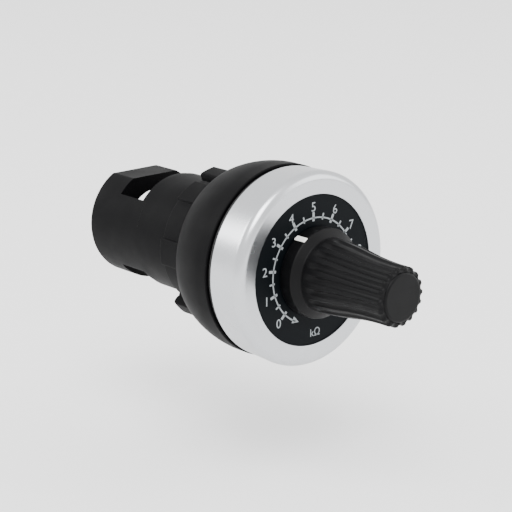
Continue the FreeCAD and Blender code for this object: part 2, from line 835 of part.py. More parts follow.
def make_clamp(number, turn):
    """Square wire clamp under the screw's head, with a rib along each side."""
    half = "clamp_width / 2"
    middle = "terminal_place_r"
    pad = block("clamp_pad_%d" % number, ("-" + half, half), (CLAMP_FRONT + " + clamp_rib", CLAMP_BACK),
                (middle + " - " + half, middle + " + " + half))
    ribs = [block("clamp_rib_%d_%s" % (number, side), edges, (CLAMP_FRONT, CLAMP_BACK),
                  (middle + " - " + half, middle + " + " + half))
            for side, edges in (("left", ("-" + half, "-" + half + " + clamp_rib * 2")),
                                ("right", (half + " - clamp_rib * 2", half)))]
    hole = rod("clamp_hole_%d" % number, "screw_r + screw_gap", CLAMP_FRONT + " - " + MARGIN,
               CLAMP_BACK + " + " + MARGIN, middle)
    whole = cut("clamp_%d" % number, fuse("clamp_%d" % number, pad, *ribs), hole)
    keep(whole, "clamp_%d" % (number + 1), turn)


def make_screw(number, turn):
    """Slotted cheese-head screw of one terminal."""
    head_back = CLAMP_BACK + " + screw_head"
    shank = rod("screw_shank_%d" % number, "screw_r", CLAMP_BACK + " - screw_length", CLAMP_BACK,
                "terminal_place_r")
    head = rod("screw_head_%d" % number, "screw_head_r", CLAMP_BACK, head_back, "terminal_place_r")
    slot = block("screw_slot_%d" % number, ("-slot_width / 2", "slot_width / 2"),
                 (head_back + " - slot_depth", head_back + " + " + MARGIN),
                 ("terminal_place_r - screw_head_r - " + MARGIN,
                  "terminal_place_r + screw_head_r + " + MARGIN))
    whole = cut("screw_%d" % number, fuse("screw_%d" % number, shank, head), slot)
    keep(whole, "screw_%d" % (number + 1), turn)


def make_shaft():
    """Steel shaft from the rotor to the knob, with a flat at the knob's end and a clip groove."""
    front = INSERT_WEB + " + assembly_gap"
    back = ROTOR_BACK
    body = turned("shaft", [
        ("0", front),
        ("shaft_r", front),
        ("shaft_r", "clip_front + " + CAN_FRONT),
        ("clip_groove_r", "clip_front + " + CAN_FRONT),
        ("clip_groove_r", "clip_front + clip_thick + " + CAN_FRONT),
        ("shaft_r", "clip_front + clip_thick + " + CAN_FRONT),
        ("shaft_r", back),
        ("0", back),
    ])
    flat = rectangle("2 * shaft_r", "shaft_r - flat_cut", "shaft_r + " + MARGIN)
    cross_cut(body, "shaft_flat", flat, front + " - " + MARGIN,
              "(%s) - (%s) + %s" % (HOLLOW_FLOOR, front, MARGIN), "pointer_turn")
    hole = body.newObject("PartDesign::Groove", "shaft_screw_hole")
    hole.Profile = section_sketch(body, "shaft_screw_section", [
        ("0", front + " - " + MARGIN),
        ("knob_screw_r + press_gap", front + " - " + MARGIN),
        ("knob_screw_r + press_gap", INSERT_FRONT + " + knob_screw_length + assembly_gap"),
        ("0", INSERT_FRONT + " + knob_screw_length + assembly_gap"),
    ])
    hole.ReferenceAxis = (hole.Profile[0], ["V_Axis"])
    hole.Angle = 360
    doc.recompute()
    keep(body, "pot_shaft")


def make_rotor():
    """Moulded rotor on the shaft, its bridge-shaped brush and the clip that holds the shaft."""
    rotor = turned("rotor", [
        ("shaft_r", "rotor_front"),
        ("rotor_r", "rotor_front"),
        ("rotor_r", ROTOR_BACK),
        ("shaft_r", ROTOR_BACK),
    ])
    keep(rotor, "wiper_rotor")
    half = "brush_width / 2"
    film = BASE_FRONT + " - film_thick - brush_gap"
    bridge = block("brush_bridge", ("-" + half, half), (ROTOR_BACK, ROTOR_BACK + " + film_thick"),
                   ("collector_inner_r", "track_outer_r - brush_width / 3"))
    feet = [block("brush_foot_" + side, ("-" + half, half), (ROTOR_BACK, film), (low, high))
            for side, low, high in (
                ("track", "track_inner_r + brush_width / 3", "track_outer_r - brush_width / 3"),
                ("ring", "collector_inner_r", "collector_outer_r"))]
    keep(fuse("brush", bridge, *feet), "wiper_contact", "pointer_turn")
    clip = new_body("clip")
    sector(clip, "clip_ring", [
        ("clip_groove_r", "clip_front + " + CAN_FRONT),
        ("clip_r", "clip_front + " + CAN_FRONT),
        ("clip_r", "clip_front + clip_thick + " + CAN_FRONT),
        ("clip_groove_r", "clip_front + clip_thick + " + CAN_FRONT),
    ], "0", "clip_spread")
    keep(clip, "shaft_clip")


def make_knob():
    """Moulded knob: hollow skirt over the bushing nut and a fluted, waisted stem."""
    body = turned("knob", [
        ("insert_r", HOLLOW_FLOOR),
        ("skirt_hollow_r", HOLLOW_FLOOR),
        ("skirt_hollow_r", SKIRT_BACK),
        ("skirt_back_r", SKIRT_BACK),
        ("skirt_front_r", SKIRT_FRONT),
        ("stem_base_r", "-stem_base", "stem_belly_r", False),
        ("stem_waist_r", "-stem_waist", "stem_hollow_r", True),
        ("stem_end_r", "-stem_grip"),
        ("stem_end_r", "-stem_end"),
        ("cap_r + cap_gap", "-stem_end"),
        ("cap_r + cap_gap", CAP_SEAT),
        ("insert_r", CAP_SEAT),
    ])
    slot = rectangle("pointer_width", "pointer_inner_r", "skirt_front_r + " + MARGIN)
    cross_cut(body, "pointer_slot", slot, SKIRT_FRONT + " - " + MARGIN,
              "skirt_depth + %s + %s" % (MARGIN, MARGIN), "pointer_turn")
    groove = rectangle("groove_width", "pointer_inner_r - pointer_groove",
                       "pointer_inner_r + pointer_groove / 2")
    cross_cut(body, "pointer_groove", groove, "-stem_base - " + MARGIN,
              "(%s) - assembly_gap + stem_base + %s" % (SKIRT_FRONT, MARGIN), "pointer_turn")
    round_ring(body, "skirt_edge", "skirt_round", "skirt_front_r", SKIRT_FRONT)
    round_ring(body, "stem_root", "root_round", "stem_base_r", "-stem_base")
    round_ring(body, "stem_edge", "stem_round", "stem_end_r", "-stem_end")
    cut_flutes(body)
    keep(body, "knob")


def cut_flutes(body):
    """Cut shallow flutes along the stem, each a loft of circles that follows the stem's outline."""
    stations = [
        ("stem_end_r", "-(stem_end + flute_overrun)"),
        ("stem_end_r", "-stem_grip"),
        ("stem_waist_r", "-stem_waist"),
        ("stem_base_r", "-flute_start"),
    ]
    rings = []
    for number, (radius, along) in enumerate(stations):
        sketch = cross_sketch(body, "flute_ring_%d" % number, along)
        centre = radius + " - flute_depth + flute_r"
        circle = Part.Circle(FreeCAD.Vector(0, size(centre), 0), FreeCAD.Vector(0, 0, 1), size("flute_r"))
        sketch.addGeometry(circle, False)
        sketch.addConstraint(Sketcher.Constraint("PointOnObject", 0, 3, -2))
        hold(sketch, "flute_radius", "flute_r", "Radius", 0)
        hold(sketch, "flute_height", centre, "DistanceY", -1, 1, 0, 3)
        rings.append(sketch)
    flute = body.newObject("PartDesign::SubtractiveLoft", "flute")
    flute.Profile = rings[0]
    flute.Sections = rings[1:]
    doc.recompute()
    repeat_round(body, "flutes", flute, "flute_count")


def make_cap():
    """Disc that closes the end of the stem over the knob's screw."""
    body = turned("cap", [
        ("0", CAP_SEAT),
        ("cap_r", CAP_SEAT),
        ("cap_r", "-(stem_end + cap_proud)"),
        ("0", "-(stem_end + cap_proud)"),
    ])
    round_ring(body, "cap_edge", "cap_round", "cap_r", "-(stem_end + cap_proud)")
    keep(body, "knob_cap")


def make_insert():
    """Brass insert in the knob, with a flat that matches the shaft's and a web for the screw."""
    body = turned("insert", [
        ("knob_screw_r + press_gap", INSERT_FRONT),
        ("insert_r", INSERT_FRONT),
        ("insert_r", HOLLOW_FLOOR),
        ("knob_screw_r + press_gap", HOLLOW_FLOOR),
    ])
    bore = "(shaft_r + press_gap)"
    level = "(shaft_r - flat_cut + press_gap)"
    corner = "sqrt(%s * %s - %s * %s)" % (bore, bore, level, level)
    shaft_hole = [
        ("-" + corner, level, bore, True),
        ("0", "-" + bore, bore, True),
        (corner, level),
    ]
    cross_cut(body, "insert_hole", shaft_hole, INSERT_WEB,
              "(%s) - (%s) + %s" % (HOLLOW_FLOOR, INSERT_WEB, MARGIN), "pointer_turn")
    keep(body, "knob_insert")


def make_knob_screw():
    """Screw under the cap that holds the knob's insert on the shaft."""
    head_front = INSERT_FRONT + " - knob_screw_head"
    shank = rod("knob_screw_shank", "knob_screw_r", INSERT_FRONT, INSERT_FRONT + " + knob_screw_length")
    head = rod("knob_screw_top", "knob_screw_head_r", head_front, INSERT_FRONT)
    wide, narrow = ("-cross_reach", "cross_reach"), ("-slot_width / 2", "slot_width / 2")
    depth = (head_front + " - " + MARGIN, head_front + " + slot_depth")
    bars = [block("knob_screw_slot_" + way, across, depth, up)
            for way, across, up in (("level", wide, narrow), ("upright", narrow, wide))]
    keep(cut("knob_screw", fuse("knob_screw", shank, head), *bars), "knob_screw")


def make_pointer():
    """White inlay across the skirt's side, which marks the setting."""
    half = "pointer_width / 2"
    bar = block("pointer_bar", ("-" + half, half), (SKIRT_FRONT, SKIRT_BACK),
                ("pointer_inner_r", "skirt_front_r + pointer_proud"))
    keep(group("pointer", [bar]), "pointer_inlay", "pointer_turn")


def check_document():
    """Stop if anything in the document failed or a piece has no sound shape."""
    for item in doc.Objects:
        bad = [state for state in item.State if state in ("Invalid", "Error")]
        if bad:
            raise RuntimeError("%s is %s" % (item.Name, bad))
    for piece in pieces:
        if piece.Shape.isNull() or not piece.Shape.isValid() or piece.Shape.Volume <= 0:
            raise RuntimeError(piece.Label + " has no sound shape")


def write_pieces():
    """Write each piece to its own file."""
    os.makedirs("parts", exist_ok=True)
    for piece in pieces:
        piece.Shape.exportStep("parts/%s.step" % piece.Label)
        print(piece.Label, "%.2f mm3" % piece.Shape.Volume)


def main():
    """Build every piece, check the document and write the pieces."""
    fill_sheet()
    for make in (make_bezel, make_dial, make_front_housing, make_gasket, make_collar, make_ring_nut,
                 make_barrel, make_bushing, make_bushing_washer, make_bushing_nut, make_can, make_base,
                 make_track, make_tags, make_link_wires, make_terminal_block, make_terminals,
                 make_shaft, make_rotor, make_knob, make_cap, make_insert, make_knob_screw, make_pointer):
        make()
    doc.recompute()
    check_document()
    write_pieces()


main()
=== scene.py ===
"""Looks of a panel potentiometer: plated bezel, printed scale, fluted knob, collar, ring nut and rear barrel."""

import json
import logging
import math
from collections.abc import Callable, Sequence
from dataclasses import dataclass, field
from enum import Enum

import bpy
import numpy as np
from mathutils import Matrix, Vector


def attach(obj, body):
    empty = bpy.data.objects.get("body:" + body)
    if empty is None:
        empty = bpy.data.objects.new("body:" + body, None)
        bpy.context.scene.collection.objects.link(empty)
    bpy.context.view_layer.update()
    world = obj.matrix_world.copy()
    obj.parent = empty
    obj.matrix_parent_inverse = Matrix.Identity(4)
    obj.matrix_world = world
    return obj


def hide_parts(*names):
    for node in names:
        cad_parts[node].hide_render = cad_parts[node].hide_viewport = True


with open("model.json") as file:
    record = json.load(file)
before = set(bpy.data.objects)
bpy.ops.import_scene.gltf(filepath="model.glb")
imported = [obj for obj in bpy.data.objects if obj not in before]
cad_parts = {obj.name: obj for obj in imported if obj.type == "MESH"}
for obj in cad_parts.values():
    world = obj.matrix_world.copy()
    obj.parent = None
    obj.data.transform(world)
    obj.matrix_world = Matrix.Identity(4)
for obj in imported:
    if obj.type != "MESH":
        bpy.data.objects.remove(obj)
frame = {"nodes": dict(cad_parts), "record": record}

LOG = logging.getLogger("looks")
MM = 0.001
# front of the dial plate, which the bezel, the print and the knob all start from
FRONT_FACE = -7.45
Corner = tuple[float, float, float]
Shape = Callable[[np.ndarray, np.ndarray, np.ndarray], np.ndarray]


class Body(Enum):
    """The moving bodies that a piece can ride on."""

    HOUSING = "housing"
    KNOB = "knob"
    COLLAR = "collar"
    NUT = "nut"


class Pattern(Enum):
    """How the surface of a material was made, which sets the direction of its marks."""

    GRAIN = "grain"
    TURNED = "turned"
    DRAWN = "drawn"
    LAYERED = "layered"


def hex_to_linear(shade: str) -> tuple[float, float, float, float]:
    """Turn an sRGB hex colour into linear red, green, blue and alpha.

    Args:
        shade: Colour as "#rrggbb".

    Returns:
        The linear colour with alpha 1.
    """
    channels = [int(shade[place:place + 2], 16) / 255 for place in (1, 3, 5)]
    red, green, blue = (c / 12.92 if c <= 0.04045 else ((c + 0.055) / 1.055) ** 2.4 for c in channels)
    return red, green, blue, 1.0


def add_node(tree: bpy.types.NodeTree, kind: str, inputs: dict | None = None, **settings: object) -> bpy.types.Node:
    """Add a node with its settings, and fill or link its inputs.

    Args:
        tree: Node tree to add it to.
        kind: Blender's name for the node type.
        inputs: Socket name or number to a value, or to the output that feeds it.
        settings: Properties of the node itself.

    Returns:
        The new node.
    """
    node = tree.nodes.new(kind)
    for name, value in settings.items():
        setattr(node, name, value)
    for name, value in (inputs or {}).items():
        if isinstance(value, bpy.types.NodeSocket):
            tree.links.new(value, node.inputs[name])
        else:
            node.inputs[name].default_value = value
    return node


@dataclass(frozen=True)
class Finish:
    """A material and the way its surface was made.

    Lengths are real millimetres on the object, and each becomes a texture scale of one over that length in metres.
    """

    name: str
    shade: str
    roughness: float
    metallic: float = 0.0
    ior: float = 1.5
    gloss: float = 0.5
    pattern: Pattern = Pattern.GRAIN
    grain_mm: float = 0.12
    depth_mm: float = 0.004
    patch_mm: float = 5.0
    patch_light: float = 0.10
    patch_rough: float = 0.05

    def pattern_vector(self, tree: bpy.types.NodeTree) -> bpy.types.NodeSocket:
        """Object coordinates, drawn out along the marks that the process leaves."""
        spot = add_node(tree, "ShaderNodeTexCoord").outputs["Object"]
        if self.pattern is Pattern.TURNED:
            # a lathe tool leaves rings: only the distance from the axis and the place along it count
            parts = add_node(tree, "ShaderNodeSeparateXYZ", {0: spot})
            flat = add_node(tree, "ShaderNodeCombineXYZ", {0: parts.outputs[0], 1: 0.0, 2: parts.outputs[2]})
            away = add_node(tree, "ShaderNodeVectorMath", {0: flat.outputs[0]}, operation="LENGTH")
            return add_node(tree, "ShaderNodeCombineXYZ",
                            {0: away.outputs["Value"], 1: parts.outputs[1], 2: 0.0}).outputs[0]
        stretch = {
            Pattern.GRAIN: (1.0, 1.0, 1.0),
            # drawn stock and wire carry marks about thirty times longer than they are wide
            Pattern.DRAWN: (1.0, 0.03, 1.0),
            # pressed sheets lie across the axis, about eight times wider than they are thick
            Pattern.LAYERED: (0.12, 1.0, 0.12),
        }[self.pattern]
        return add_node(tree, "ShaderNodeMapping", {"Vector": spot, "Scale": stretch}).outputs[0]

    def material(self) -> bpy.types.Material:
        """Build the finish's material, or return it if it is already there."""
        known = bpy.data.materials.get(self.name)
        if known is not None:
            return known
        material = bpy.data.materials.new(self.name)
        material.use_nodes = True
        tree = material.node_tree
        tree.nodes.clear()
        spot = add_node(tree, "ShaderNodeTexCoord").outputs["Object"]
        patches = add_node(tree, "ShaderNodeTexNoise",
                           {"Vector": spot, "Scale": 1 / (self.patch_mm * MM), "Detail": 3.0, "Roughness": 0.55})
        marks = add_node(tree, "ShaderNodeTexNoise",
                         {"Vector": self.pattern_vector(tree), "Scale": 1 / (self.grain_mm * MM), "Detail": 2.0})
        colour = hex_to_linear(self.shade)
        darker = tuple(c * (1 - self.patch_light) for c in colour[:3]) + (1.0,)
        lighter = tuple(min(1.0, c * (1 + self.patch_light)) for c in colour[:3]) + (1.0,)
        tone = add_node(tree, "ShaderNodeMix", {"Factor": patches.outputs["Fac"]}, data_type="RGBA")
        for name, value in (("A", darker), ("B", lighter)):
            for socket in tone.inputs:
                if socket.name == name and socket.type == "RGBA":
                    socket.default_value = value
        mixed = next(socket for socket in tone.outputs if socket.type == "RGBA")
        worn = add_node(tree, "ShaderNodeMapRange",
                        {"Value": patches.outputs["Fac"], "From Min": 0.3, "From Max": 0.7,
                         "To Min": max(0.02, self.roughness - self.patch_rough),
                         "To Max": min(1.0, self.roughness + self.patch_rough)})
        bump = add_node(tree, "ShaderNodeBump",
                        {"Height": marks.outputs["Fac"], "Strength": 0.6, "Distance": self.depth_mm * MM})
        shader = add_node(tree, "ShaderNodeBsdfPrincipled",
                          {"Base Color": mixed, "Metallic": self.metallic, "Roughness": worn.outputs["Result"],
                           "IOR": self.ior, "Specular IOR Level": self.gloss,
                           "Normal": bump.outputs["Normal"]})
        add_node(tree, "ShaderNodeOutputMaterial", {"Surface": shader.outputs["BSDF"]})
        return material


# metals keep the shader's own index of refraction, and plastics have that of their resin
PLATED_RING = Finish("satin chrome plated zinc", "#bcbec1", 0.27, metallic=1.0, pattern=Pattern.GRAIN,
                     grain_mm=0.35, depth_mm=0.0010, patch_mm=9.0, patch_light=0.03, patch_rough=0.03)
BLACK_MOULDING = Finish("black polyamide, moulded with a spark-eroded grain", "#030304", 0.55, ior=1.53, gloss=0.06,
                        grain_mm=0.16, depth_mm=0.010, patch_mm=6.0, patch_light=0.14)
BLACK_KNOB = Finish("black ABS, moulded with a satin grain", "#040405", 0.46, ior=1.54, gloss=0.10,
                    grain_mm=0.12, depth_mm=0.006, patch_mm=4.0, patch_light=0.12)
DIAL_PRINT = Finish("dark blue-black ink, screen printed on aluminium", "#05080b", 0.50, ior=1.5, gloss=0.06,
                    grain_mm=0.20, depth_mm=0.002, patch_mm=7.0, patch_light=0.08, patch_rough=0.04)
WHITE_PRINT = Finish("white ink, screen printed", "#868b8e", 0.55, ior=1.5,
                     grain_mm=0.10, depth_mm=0.003, patch_mm=1.2, patch_light=0.05)
WHITE_INLAY = Finish("white acetal, pressed in", "#eceae4", 0.35, ior=1.48,
                     grain_mm=0.10, depth_mm=0.003, patch_mm=2.0, patch_light=0.03)
RUBBER = Finish("black nitrile rubber, die cut", "#141414", 0.75, ior=1.52,
                grain_mm=0.25, depth_mm=0.015, patch_mm=3.0, patch_light=0.18, patch_rough=0.08)
NICKEL = Finish("bright nickel plate on pressed steel", "#b9b4a8", 0.24, metallic=1.0, pattern=Pattern.TURNED,
                grain_mm=0.10, depth_mm=0.0015, patch_mm=3.0, patch_light=0.05, patch_rough=0.06)
STEEL = Finish("turned bright steel", "#a3a5a6", 0.30, metallic=1.0, pattern=Pattern.TURNED,
               grain_mm=0.08, depth_mm=0.002, patch_mm=3.0, patch_light=0.06, patch_rough=0.08)
BRASS = Finish("turned brass", "#c9a35a", 0.28, metallic=1.0, pattern=Pattern.TURNED,
               grain_mm=0.08, depth_mm=0.002, patch_mm=2.5, patch_light=0.10, patch_rough=0.08)
PHENOLIC = Finish("brown phenolic paper laminate, punched", "#5f3a20", 0.50, ior=1.6, pattern=Pattern.LAYERED,
                  grain_mm=0.25, depth_mm=0.012, patch_mm=1.5, patch_light=0.22, patch_rough=0.08)
CARBON = Finish("carbon film, screen printed", "#1b1b1c", 0.62, ior=1.7,
                grain_mm=0.09, depth_mm=0.006, patch_mm=1.0, patch_light=0.20)
TINNED = Finish("tinned copper wire, drawn", "#c0c1c2", 0.30, metallic=1.0, pattern=Pattern.DRAWN,
                grain_mm=0.06, depth_mm=0.002, patch_mm=1.0, patch_light=0.08, patch_rough=0.08)

SLOT_FINISHES = {
    "plated_ring": PLATED_RING,
    "black_moulding": BLACK_MOULDING,
    "black_knob": BLACK_KNOB,
    "dial_print": DIAL_PRINT,
    "white_inlay": WHITE_INLAY,
    "rubber": RUBBER,
    "nickel_plate": NICKEL,
    "steel": STEEL,
    "brass": BRASS,
    "phenolic": PHENOLIC,
    "carbon_film": CARBON,
    "tinned_wire": TINNED,
}


@dataclass
class Shell:
    """A closed surface: points in millimetres in the row frame, and the faces over them."""

    points: np.ndarray
    faces: list[tuple[int, ...]]

    def joined(self, other: "Shell") -> "Shell":
        """This shell and another as one."""
        start = len(self.points)
        moved = [tuple(index + start for index in face) for face in other.faces]
        return Shell(np.vstack([self.points, other.points]), self.faces + moved)

    def turned(self, degrees: float) -> "Shell":
        """The shell turned about the axis: positive moves the top towards +X."""
        turn = math.radians(degrees)
        cos, sin = math.cos(turn), math.sin(turn)
        x, y, z = self.points.T
        return Shell(np.column_stack([x * cos + z * sin, y, z * cos - x * sin]), self.faces)

    def shifted(self, x: float, y: float, z: float) -> "Shell":
        """The shell moved by these distances."""
        return Shell(self.points + np.array([x, y, z]), self.faces)


def grid_faces(rows: int, columns: int, close_rows: bool, close_columns: bool) -> np.ndarray:
    """Quads over a grid of points, row by row.

    Args:
        rows: Number of rows.
        columns: Points in a row.
        close_rows: Whether the last row joins the first.
        close_columns: Whether the last column joins the first.

    Returns:
        An array with the four indices of each quad, counted along the columns first.
    """
    index = np.arange(rows * columns).reshape(rows, columns)
    if close_rows:
        index = np.vstack([index, index[:1]])
    if close_columns:
        index = np.hstack([index, index[:, :1]])
    corners = (index[:-1, :-1], index[:-1, 1:], index[1:, 1:], index[1:, :-1])
    return np.stack(corners, axis=-1).reshape(-1, 4)


def without_repeats(quads: np.ndarray) -> list[tuple[int, ...]]:
    """Faces with each repeated corner taken out, so that a quad at a pole becomes a triangle."""
    faces = []
    for quad in quads.tolist():
        face = tuple(index for place, index in enumerate(quad) if index != quad[place - 1])
        if len(face) > 2:
            faces.append(face)
    return faces


def rounded_outline(corners: Sequence[Corner], closed: bool = True, steps: int = 6) -> np.ndarray:
    """Points of an outline with each corner rounded.

    The arc at a corner touches both sides, so its middle lies on the bisector at the rounding over the sine of half
    the corner's angle. A point just beyond each end of the arc keeps the shading of the straight side flat.

    Args:
        corners: Across, along and rounding of each corner, in millimetres.
        closed: Whether the last corner joins the first.
        steps: Faces along each arc.

    Returns:
        The points, two columns.
    """
    support = 0.12
    points: list[np.ndarray] = []
    for index, (across, along, rounding) in enumerate(corners):
        here = np.array([across, along], float)
        if rounding <= 0 or (not closed and index in (0, len(corners) - 1)):
            points.append(here)
            continue
        back = np.array(corners[index - 1][:2], float) - here
        ahead = np.array(corners[(index + 1) % len(corners)][:2], float) - here
        back_length, ahead_length = np.hypot(*back), np.hypot(*ahead)
        back, ahead = back / back_length, ahead / ahead_length
        half = 0.5 * math.acos(float(np.clip(back @ ahead, -1, 1)))
        reach = rounding / math.tan(half)
        bisector = (back + ahead) / np.hypot(*(back + ahead))
        middle = here + bisector * rounding / math.sin(half)
        first, last = here + back * reach - middle, here + ahead * reach - middle
        start = math.atan2(first[1], first[0])
        sweep = (math.atan2(last[1], last[0]) - start + math.pi) % (2 * math.pi) - math.pi
        angles = start + sweep * np.linspace(0, 1, steps + 1)
        if back_length > reach + 3 * support:
            points.append(here + back * (reach + support))
        points.extend(middle + rounding * np.column_stack([np.cos(angles), np.sin(angles)]))
        if ahead_length > reach + 3 * support:
            points.append(here + ahead * (reach + support))
    return np.array(points)


def arc_between(start: tuple[float, float], stop: tuple[float, float], radius: float, centre_left: bool,
                steps: int) -> list[Corner]:
    """Points inside an arc between two points, as corners with no rounding.

    Args:
        start: First end of the arc.
        stop: Last end of the arc.
        radius: Its radius.
        centre_left: Whether its centre lies to the left on the way from start to stop.
        steps: Pieces it is divided into.

    Returns:
        The corners between the ends.
    """
    first, last = np.array(start), np.array(stop)
    chord = last - first
    length = np.hypot(*chord)
    left = np.array([-chord[1], chord[0]]) / length * (1 if centre_left else -1)
    centre = (first + last) / 2 + left * math.sqrt(radius ** 2 - length ** 2 / 4)
    begin = math.atan2(*(first - centre)[::-1])
    sweep = (math.atan2(*(last - centre)[::-1]) - begin + math.pi) % (2 * math.pi) - math.pi
    angles = begin + sweep * np.linspace(0, 1, steps + 1)[1:-1]
    return [(centre[0] + radius * math.cos(a), centre[1] + radius * math.sin(a), 0.0) for a in angles]


def outward(outline: np.ndarray) -> np.ndarray:
    """The outline in the order that makes a turned or swept surface face outwards."""
    radius, along = outline.T
    area = np.sum(radius * np.roll(along, -1) - np.roll(radius, -1) * along)
    return outline if area > 0 else outline[::-1]


def around(radius: np.ndarray, along: np.ndarray, turn: np.ndarray) -> np.ndarray:
    """Points at a distance from the axis, a place along it and a turn about it: (r sin t, y, r cos t)."""
    radius, along, turn = np.broadcast_arrays(radius, along, turn)
    return np.stack([radius * np.sin(turn), along, radius * np.cos(turn)], axis=-1).reshape(-1, 3)


def lathe(corners: Sequence[Corner], turns: int = 240, closed: bool = True, shape: Shape | None = None,
          steps: int = 6) -> Shell:
    """Turn an outline about the Y axis.

    The surface is P(k, t) = (r sin t, y, r cos t), where (r, y) is point k of the rounded outline and t runs round the
    axis. A shape may change r with the turn. An open outline starts and ends on the axis, and is closed by two poles.

    Args:
        corners: Radius, place along the axis and rounding of each corner, in millimetres.
        turns: Steps round the axis.
        closed: Whether the outline is a loop.
        shape: Function of radius, place and turn that gives the final radius.
        steps: Faces along each rounded corner.

    Returns:
        The closed shell.
    """
    outline = outward(rounded_outline(corners, closed, steps))
    radius, along = outline[:, :1], outline[:, 1:]
    turn = np.linspace(0, 2 * math.pi, turns, endpoint=False)[None, :]
    final = shape(radius, along, turn) if shape else radius
    quads = grid_faces(len(outline), turns, closed, True)
    if not closed:
        for row in (0, len(outline) - 1):
            low, high = row * turns, (row + 1) * turns
            quads = np.where((quads >= low) & (quads < high), low, quads)
    return tidy(Shell(around(final, along, turn), without_repeats(quads)))


def tidy(shell: Shell) -> Shell:
    """The shell without the points that no face uses."""
    used = np.unique(np.concatenate([np.array(face) for face in shell.faces]))
    renumbered = np.full(len(shell.points), -1)
    renumbered[used] = np.arange(len(used))
    return Shell(shell.points[used], [tuple(renumbered[list(face)].tolist()) for face in shell.faces])


def swept(corners: Sequence[Corner], centre: float, spread: float, end_round: float = 0.0, steps: int = 12) -> Shell:
    """Carry a section part of the way round the axis and close both ends.

    The surface is P(a, k) = (r sin a, y, r cos a) for point k of the section at angle a. Near each end the section
    shrinks towards its middle along a quarter circle, which rounds the end's edges.

    Args:
        corners: Radius, place along the axis and rounding of each corner of a convex section.
        centre: Middle of the sweep, in degrees.
        spread: Whole angle of the sweep, in degrees.
        end_round: Rounding of the ends' edges, in millimetres.
        steps: Steps along the sweep.

    Returns:
        The closed shell.
    """
    section = outward(rounded_outline(corners))
    middle = section.mean(axis=0)
    half = math.radians(spread) / 2
    stations = [(angle, 0.0) for angle in np.linspace(-half, half, steps + 1)]
    if end_round > 0:
        run = end_round / middle[0]
        start = [(-half + run * (1 - math.sin(a)), end_round * (1 - math.cos(a)))
                 for a in np.linspace(math.pi / 2, 0, 6)]
        inner = [(angle, 0.0) for angle in np.linspace(-half + run, half - run, steps + 1)[1:-1]]
        stations = start + inner + [(-angle, inset) for angle, inset in reversed(start)]
    size = np.min(np.ptp(section, axis=0)) / 2
    angles = np.array([angle for angle, _ in stations])[:, None] + math.radians(centre)
    scale = np.array([1 - min(inset, 0.9 * size) / size for _, inset in stations])[:, None]
    radius = middle[0] + (section[:, 0] - middle[0])[None, :] * scale
    along = middle[1] + (section[:, 1] - middle[1])[None, :] * scale
    count = len(section)
    quads = grid_faces(len(stations), count, False, True)[:, ::-1]
    faces = [tuple(quad) for quad in quads.tolist()]
    last = (len(stations) - 1) * count
    faces.append(tuple(range(count)))
    faces.append(tuple(range(last + count - 1, last - 1, -1)))
    return Shell(around(radius, along, angles), faces)


def plate(corners: Sequence[Corner], front: float, back: float) -> Shell:
    """A flat plate with a rounded outline across the axis, between two places along it.

    Args:
        corners: X, Z and rounding of each corner, in order.
        front: Place of the face that looks along -Y.
        back: Place of the other face.

    Returns:
        The closed shell.
    """
    outline = rounded_outline(corners, steps=3)
    x, z = outline.T
    if np.sum(x * np.roll(z, -1) - np.roll(x, -1) * z) < 0:
        x, z = x[::-1], z[::-1]
    count = len(x)
    points = np.vstack([np.column_stack([x, np.full(count, front), z]), np.column_stack([x, np.full(count, back), z])])
    faces = [tuple(range(count)), tuple(range(2 * count - 1, count - 1, -1))]
    faces += [(k, count + k, count + (k + 1) % count, (k + 1) % count) for k in range(count)]
    return Shell(points, faces)


def lettering(text: str, height: float, front: float, back: float) -> Shell:
    """Characters of a given height, centred on the axis, as a thin raised plate.

    Args:
        text: Characters to write.
        height: Height of the writing in millimetres.
        front: Place of its front face along Y.
        back: Place of its back face.

    Returns:
        The shell, upright and facing -Y.
    """
    curve = bpy.data.curves.new("writing", "FONT")
    curve.body = text
    curve.extrude = 0.1
    curve.resolution_u = 6
    holder = bpy.data.objects.new("writing", curve)
    bpy.context.scene.collection.objects.link(holder)
    mesh = bpy.data.meshes.new_from_object(holder.evaluated_get(bpy.context.evaluated_depsgraph_get()))
    points = np.zeros(len(mesh.vertices) * 3)
    mesh.vertices.foreach_get("co", points)
    points = points.reshape(-1, 3)
    faces = [tuple(polygon.vertices) for polygon in mesh.polygons]
    bpy.data.objects.remove(holder)
    bpy.data.curves.remove(curve)
    bpy.data.meshes.remove(mesh)
    low, high = points.min(axis=0), points.max(axis=0)
    scale = height / (high[1] - low[1])
    x = (points[:, 0] - (low[0] + high[0]) / 2) * scale
    z = (points[:, 1] - (low[1] + high[1]) / 2) * scale
    y = np.where(points[:, 2] > 0, front, back)
    return Shell(np.column_stack([x, y, z]), faces)


def place(name: str, shell: Shell, finish: Finish, body: Body, slot: str, replaces: Sequence[str] = (),
          sharp: float = 32.0) -> bpy.types.Object:
    """Make a shell into an object that rides on a body.

    Args:
        name: Name of the object.
        shell: Its surface in millimetres.
        finish: What it is made of.
        body: The body it moves with.
        slot: The record's slot for its finish; not used.
        replaces: The design's nodes that it stands for.
        sharp: Angle between faces, in degrees, above which an edge stays sharp.

    Returns:
        The object.
    """
    mesh = bpy.data.meshes.new(name)
    mesh.from_pydata((shell.points * MM).tolist(), [], shell.faces)
    mesh.update()
    mesh.validate()
    mesh.shade_smooth()
    mesh.set_sharp_from_angle(angle=math.radians(sharp))
    mesh.materials.append(finish.material())
    item = bpy.data.objects.new(name, mesh)
    bpy.context.scene.collection.objects.link(item)
    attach(item, body.value)
    if replaces:
        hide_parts(*replaces)
    LOG.info("%s: %d points, %d faces, on %s", name, len(mesh.vertices), len(mesh.polygons), body.value)
    return item


